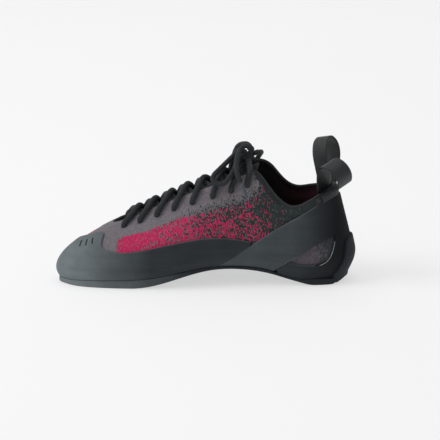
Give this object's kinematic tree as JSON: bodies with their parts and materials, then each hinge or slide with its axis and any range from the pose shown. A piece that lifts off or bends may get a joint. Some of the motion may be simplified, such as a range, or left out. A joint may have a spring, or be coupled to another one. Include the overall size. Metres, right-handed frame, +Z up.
{
  "type": "climbing shoe",
  "caption": "Lace-up climbing shoe for the right foot: low knitted upper on an asymmetric last, rubber rands, arched sole and two pull loops at the heel.",
  "frame": {"origin": "bottom centre of the shoe's box, on the floor that the sole stands on", "axes": "+X from the toe to the heel, -Y towards the medial side, +Z up"},
  "size_m": [0.2597, 0.0943, 0.1232],
  "materials": {
    "knit": "knitted",
    "rubber": "matte",
    "lining": "matte",
    "webbing": "woven",
    "lace": "braided"
  },
  "bodies": {
    "root": {"upper": "knit", "insole": "lining", "tongue": "lining", "outsole": "rubber", "front_rand": "rubber", "slingshot_rand": "rubber", "heel_cup": "rubber", "heel_tab": "webbing", "pull_loop_medial": "webbing", "pull_loop_lateral": "webbing", "lace_crossings": "lace", "lace_knot": "lace", "bow_loop_medial": "lace", "bow_loop_lateral": "lace", "lace_end_medial": "lace", "lace_end_lateral": "lace", "aglet_medial": "lace", "aglet_lateral": "lace"}
  },
  "joints": []
}
